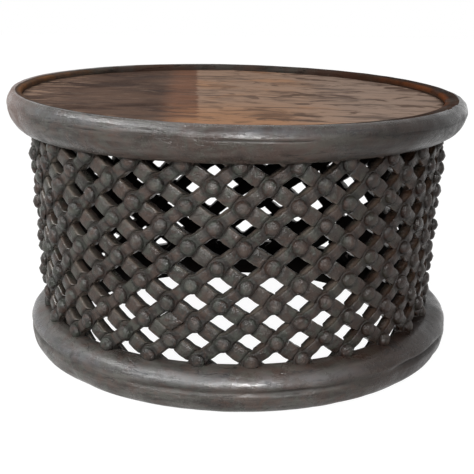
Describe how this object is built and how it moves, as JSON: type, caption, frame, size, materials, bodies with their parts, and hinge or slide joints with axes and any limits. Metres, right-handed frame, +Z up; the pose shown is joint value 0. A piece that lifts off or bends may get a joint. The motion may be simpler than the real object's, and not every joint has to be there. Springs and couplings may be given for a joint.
{
  "type": "carved drum table",
  "caption": "Round drum table with a thick recessed top, an open wall of crossing studded straps and a rounded base ring.",
  "frame": {"origin": "on the floor, below the middle of the table", "axes": "+Z up along the drum's axis; -Y is the side seen from the front"},
  "size_m": [0.8, 0.8, 0.458],
  "materials": {
    "rim_wood": "dark patinated wood, worn satin",
    "tray_wood": "worn brown wood, waxed satin",
    "base_wood": "dark patinated wood, worn satin",
    "lattice_wood": "dark carved wood, satin on the outside"
  },
  "bodies": {
    "root": {"base_ring": "base_wood", "falling_strap_01": "lattice_wood", "falling_strap_02": "lattice_wood", "falling_strap_03": "lattice_wood", "falling_strap_04": "lattice_wood", "falling_strap_05": "lattice_wood", "falling_strap_06": "lattice_wood", "falling_strap_07": "lattice_wood", "falling_strap_08": "lattice_wood", "falling_strap_09": "lattice_wood", "falling_strap_10": "lattice_wood", "falling_strap_11": "lattice_wood", "falling_strap_12": "lattice_wood", "falling_strap_13": "lattice_wood", "falling_strap_14": "lattice_wood", "falling_strap_15": "lattice_wood", "falling_strap_16": "lattice_wood", "falling_strap_17": "lattice_wood", "falling_strap_18": "lattice_wood", "falling_strap_19": "lattice_wood", "falling_strap_20": "lattice_wood", "falling_strap_21": "lattice_wood", "falling_strap_22": "lattice_wood", "falling_strap_23": "lattice_wood", "falling_strap_24": "lattice_wood", "falling_strap_25": "lattice_wood", "falling_strap_26": "lattice_wood", "falling_strap_27": "lattice_wood", "rising_strap_01": "lattice_wood", "rising_strap_02": "lattice_wood", "rising_strap_03": "lattice_wood", "rising_strap_04": "lattice_wood", "rising_strap_05": "lattice_wood", "rising_strap_06": "lattice_wood", "rising_strap_07": "lattice_wood", "rising_strap_08": "lattice_wood", "rising_strap_09": "lattice_wood", "rising_strap_10": "lattice_wood", "rising_strap_11": "lattice_wood", "rising_strap_12": "lattice_wood", "rising_strap_13": "lattice_wood", "rising_strap_14": "lattice_wood", "rising_strap_15": "lattice_wood", "rising_strap_16": "lattice_wood", "rising_strap_17": "lattice_wood", "rising_strap_18": "lattice_wood", "rising_strap_19": "lattice_wood", "rising_strap_20": "lattice_wood", "rising_strap_21": "lattice_wood", "rising_strap_22": "lattice_wood", "rising_strap_23": "lattice_wood", "rising_strap_24": "lattice_wood", "rising_strap_25": "lattice_wood", "rising_strap_26": "lattice_wood", "rising_strap_27": "lattice_wood", "top_rim": "rim_wood", "tray_panel": "tray_wood", "uncut_web": "lattice_wood"}
  },
  "joints": []
}
